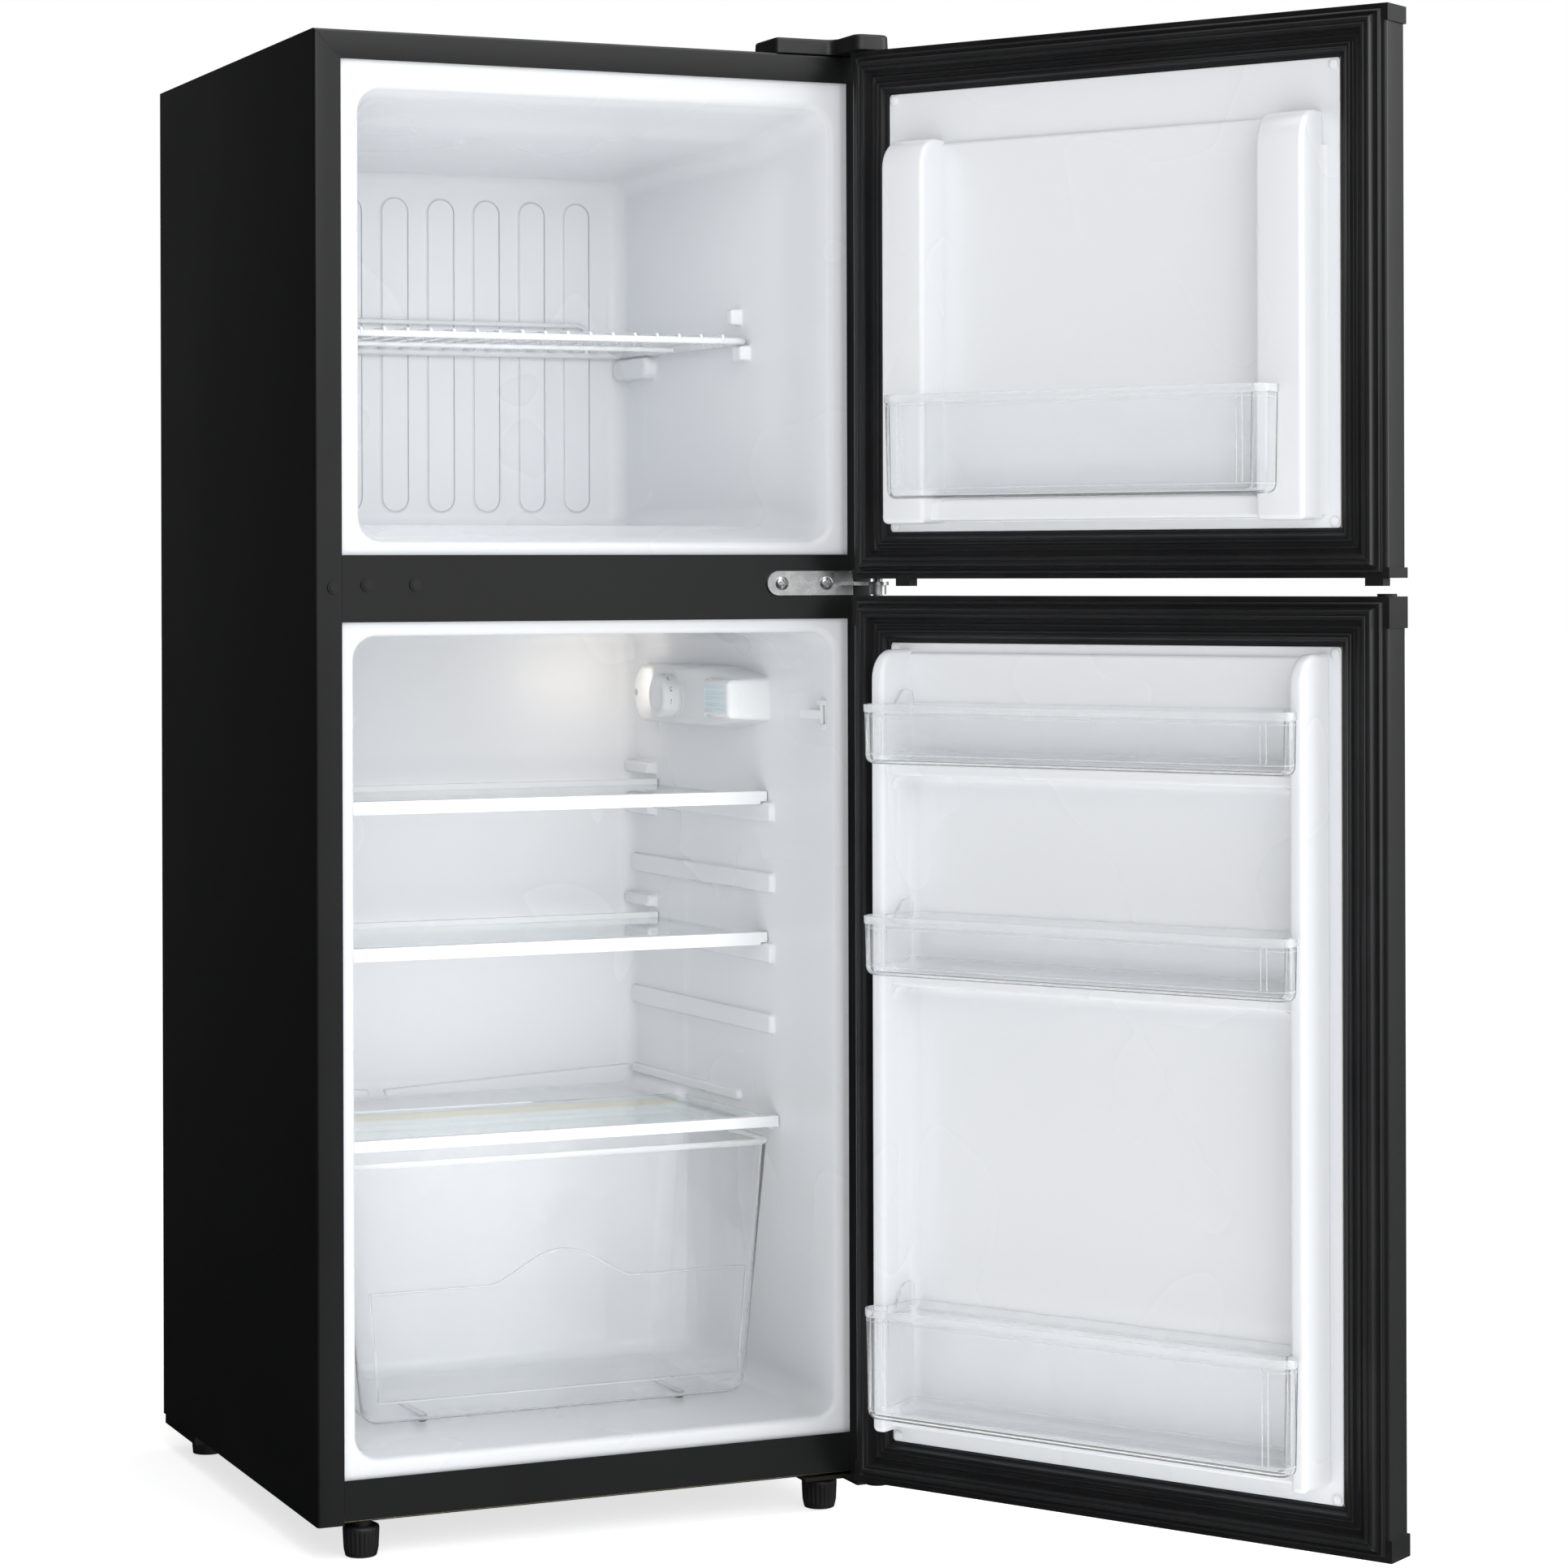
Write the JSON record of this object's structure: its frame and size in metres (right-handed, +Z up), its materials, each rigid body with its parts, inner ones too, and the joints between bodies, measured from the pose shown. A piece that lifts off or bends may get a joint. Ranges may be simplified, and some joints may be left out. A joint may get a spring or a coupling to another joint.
{
  "type": "top freezer refrigerator",
  "caption": "Compact top freezer refrigerator with both doors standing open, glass shelves, a wire freezer rack, a clear crisper drawer and clear door bins.",
  "frame": {"origin": "on the floor under the middle of the cabinet's footprint, without its doors", "axes": "+X to the right as seen from the front, +Y from the front to the back, +Z up"},
  "size_m": [0.7277, 0.915, 1.2171],
  "materials": {
    "cabinet_paint": "satin near-black paint with a fine grain",
    "door_paint": "dark grey satin paint",
    "black_plastic": "satin black moulded plastic",
    "white_liner": "glossy vacuum-formed polystyrene",
    "white_trim": "white moulded plastic",
    "lamp_cover": "translucent white plastic",
    "clear_plastic": "clear moulded polystyrene",
    "shelf_glass": "clear float glass",
    "bulb_glass": "frosted glass",
    "white_wire": "white coated wire",
    "black_rubber": "matt black rubber",
    "zinc": "zinc plated steel",
    "back_steel": "dark painted sheet",
    "aluminium": "plain aluminium",
    "copper": "copper-coloured tube",
    "foam": "rigid yellow foam",
    "grey_plastic": "grey moulded plastic",
    "bush_plastic": "white bearing plastic"
  },
  "bodies": {
    "cabinet": {"cabinet_shell": "cabinet_paint", "back_panel": "back_steel", "base_pan": "cabinet_paint", "cabinet_foam": "foam", "freezer_liner": "white_liner", "fridge_liner": "white_liner", "centre_rail": "cabinet_paint", "bottom_rail": "cabinet_paint", "hole_plugs": "black_plastic", "top_hinge_leaf": "zinc", "top_hinge_cover": "black_plastic", "middle_hinge": "zinc", "bottom_hinge": "cabinet_paint", "hinge_screws": "zinc", "thermostat_housing": "white_trim", "thermostat_body": "grey_plastic", "lamp_cover": "lamp_cover", "lamp_bulb": "bulb_glass", "light_switch_bezel": "white_trim", "compressor": "cabinet_paint", "compressor_mounts": "black_rubber", "relay_cover": "black_plastic", "condenser_coil": "copper", "evaporator": "aluminium", "drip_tray": "black_plastic", "drain_tube": "white_trim", "cord_gland": "black_rubber", "rear_feet": "black_plastic"},
    "left_foot": {"front_left_foot": "black_plastic"},
    "right_foot": {"front_right_foot": "black_plastic"},
    "dial": {"thermostat_dial": "white_trim"},
    "switch_lever": {"light_switch_lever": "white_trim"},
    "wire_rack": {"freezer_shelf": "white_wire"},
    "upper_shelf": {"upper_shelf_glass": "shelf_glass", "upper_shelf_front_trim": "white_trim", "upper_shelf_rear_rim": "white_trim"},
    "lower_shelf": {"lower_shelf_glass": "shelf_glass", "lower_shelf_front_trim": "white_trim", "lower_shelf_rear_rim": "white_trim"},
    "crisper_cover": {"crisper_cover_glass": "shelf_glass", "crisper_cover_trim": "white_trim"},
    "crisper": {"crisper_drawer": "clear_plastic"},
    "freezer_door": {"freezer_door_skin": "door_paint", "freezer_door_top_cap": "black_plastic", "freezer_door_bottom_cap": "black_plastic", "freezer_door_foam": "foam", "freezer_door_liner": "white_liner", "freezer_door_gasket": "black_rubber", "freezer_door_bushes": "bush_plastic"},
    "freezer_bin": {"freezer_door_bin": "clear_plastic"},
    "fridge_door": {"fridge_door_skin": "door_paint", "fridge_door_top_cap": "black_plastic", "fridge_door_bottom_cap": "black_plastic", "fridge_door_foam": "foam", "fridge_door_liner": "white_liner", "fridge_door_gasket": "black_rubber", "fridge_door_bushes": "bush_plastic"},
    "top_bin": {"fridge_door_top_bin": "clear_plastic"},
    "middle_bin": {"fridge_door_middle_bin": "clear_plastic"},
    "bottom_bin": {"fridge_door_bottom_bin": "clear_plastic"}
  },
  "joints": [
    {"name": "freezer_door_hinge", "type": "hinge", "parent": "cabinet", "child": "freezer_door", "pos_m": [0.2315, -0.2645, 0.989], "axis": [0, 0, 1], "range_deg": [-121.3, 12]},
    {"name": "fridge_door_hinge", "type": "hinge", "parent": "cabinet", "child": "fridge_door", "pos_m": [0.2315, -0.2645, 0.394], "axis": [0, 0, 1], "range_deg": [-121.3, 12]},
    {"name": "freezer_bin_lift", "type": "slide", "parent": "freezer_door", "child": "freezer_bin", "axis": [0, 0, 1], "range_m": [0, 0.04]},
    {"name": "top_bin_lift", "type": "slide", "parent": "fridge_door", "child": "top_bin", "axis": [0, 0, 1], "range_m": [0, 0.04]},
    {"name": "middle_bin_lift", "type": "slide", "parent": "fridge_door", "child": "middle_bin", "axis": [0, 0, 1], "range_m": [0, 0.04]},
    {"name": "bottom_bin_lift", "type": "slide", "parent": "fridge_door", "child": "bottom_bin", "axis": [0, 0, 1], "range_m": [0, 0.04]},
    {"name": "crisper_slide", "type": "slide", "parent": "cabinet", "child": "crisper", "axis": [0, -1, 0], "range_m": [0, 0.18]},
    {"name": "wire_rack_slide", "type": "slide", "parent": "cabinet", "child": "wire_rack", "axis": [0, -1, 0], "range_m": [0, 0.2]},
    {"name": "upper_shelf_slide", "type": "slide", "parent": "cabinet", "child": "upper_shelf", "axis": [0, -1, 0], "range_m": [0, 0.2]},
    {"name": "lower_shelf_slide", "type": "slide", "parent": "cabinet", "child": "lower_shelf", "axis": [0, -1, 0], "range_m": [0, 0.2]},
    {"name": "crisper_cover_slide", "type": "slide", "parent": "cabinet", "child": "crisper_cover", "axis": [0, -1, 0], "range_m": [0, 0.15]},
    {"name": "dial_turn", "type": "hinge", "parent": "cabinet", "child": "dial", "pos_m": [0.172, 0.0415, 0.667], "axis": [-1, 0, 0], "range_deg": [-150, 150]},
    {"name": "switch_lever_press", "type": "hinge", "parent": "cabinet", "child": "switch_lever", "pos_m": [0.203, -0.2145, 0.658], "axis": [0, 0, 1], "range_deg": [-18, 0], "stiffness_Nm_per_rad": 0.02},
    {"name": "left_foot_turn", "type": "hinge", "parent": "cabinet", "child": "left_foot", "pos_m": [-0.1986, -0.2149, 0.014], "axis": [0, 0, 1], "range_deg": [-180, 180]},
    {"name": "right_foot_turn", "type": "hinge", "parent": "cabinet", "child": "right_foot", "pos_m": [0.1986, -0.2149, 0.014], "axis": [0, 0, 1], "range_deg": [-180, 180]}
  ]
}
